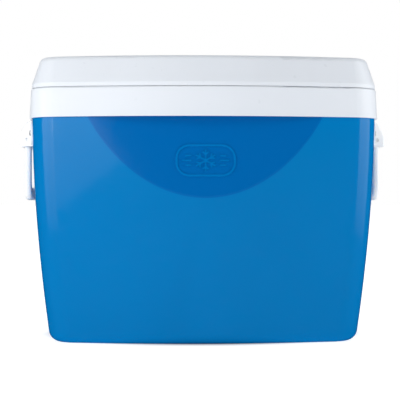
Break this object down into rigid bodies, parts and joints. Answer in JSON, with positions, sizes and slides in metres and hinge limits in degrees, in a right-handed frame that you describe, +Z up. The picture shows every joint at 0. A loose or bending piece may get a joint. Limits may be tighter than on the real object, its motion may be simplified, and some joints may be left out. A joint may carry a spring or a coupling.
{
  "type": "cooler chest",
  "caption": "Insulated cooler chest with a tapered blue shell, white rim band and liner, a hinged insulated lid and swinging side bail handles.",
  "frame": {"origin": "centre of the base, on the floor", "axes": "+X to the right seen from the front (the long way), +Y to the back where the lid hinges are, +Z up"},
  "size_m": [0.499, 0.3494, 0.377],
  "materials": {
    "shell_blue": "moulded polypropylene, fine satin grain, cobalt to sky blue",
    "trim_white": "smooth moulded polypropylene, slightly cool white, low sheen",
    "handle_white": "smooth moulded polypropylene, slightly cool white",
    "liner_white": "smooth food-safe white plastic",
    "foam": "closed-cell foam, matt cream",
    "seal_grey": "soft matt grey elastomer",
    "steel": "zinc-plated steel"
  },
  "bodies": {
    "chest": {"outer_shell": "shell_blue", "body_insulation": "foam", "inner_liner": "liner_white", "rim_collar": "trim_white", "hinge_base_right": "trim_white", "hinge_base_left": "trim_white", "hinge_base_screws": "steel", "hinge_pin_right": "trim_white", "hinge_pin_left": "trim_white", "handle_bracket_right": "trim_white", "handle_bracket_left": "trim_white", "handle_pin_right": "trim_white", "handle_pin_left": "trim_white", "bracket_screws_right": "steel", "bracket_screws_left": "steel"},
    "lid": {"lid_cover": "trim_white", "lid_insulation": "foam", "lid_pan": "liner_white", "lid_seal": "seal_grey", "hinge_leaf_right": "trim_white", "hinge_leaf_left": "trim_white", "hinge_leaf_screws": "steel"},
    "handle_right": {"handle_right": "handle_white"},
    "handle_left": {"handle_left": "handle_white"}
  },
  "joints": [
    {"name": "lid_hinge", "type": "hinge", "parent": "chest", "child": "lid", "pos_m": [0, 0.17204, 0.3364], "axis": [-1, 0, 0], "range_deg": [0, 100]},
    {"name": "handle_right_swing", "type": "hinge", "parent": "chest", "child": "handle_right", "pos_m": [0.2385, 0, 0.271], "axis": [0, -1, 0], "range_deg": [0, 100]},
    {"name": "handle_left_swing", "type": "hinge", "parent": "chest", "child": "handle_left", "pos_m": [-0.2385, 0, 0.271], "axis": [0, 1, 0], "range_deg": [0, 100]}
  ]
}
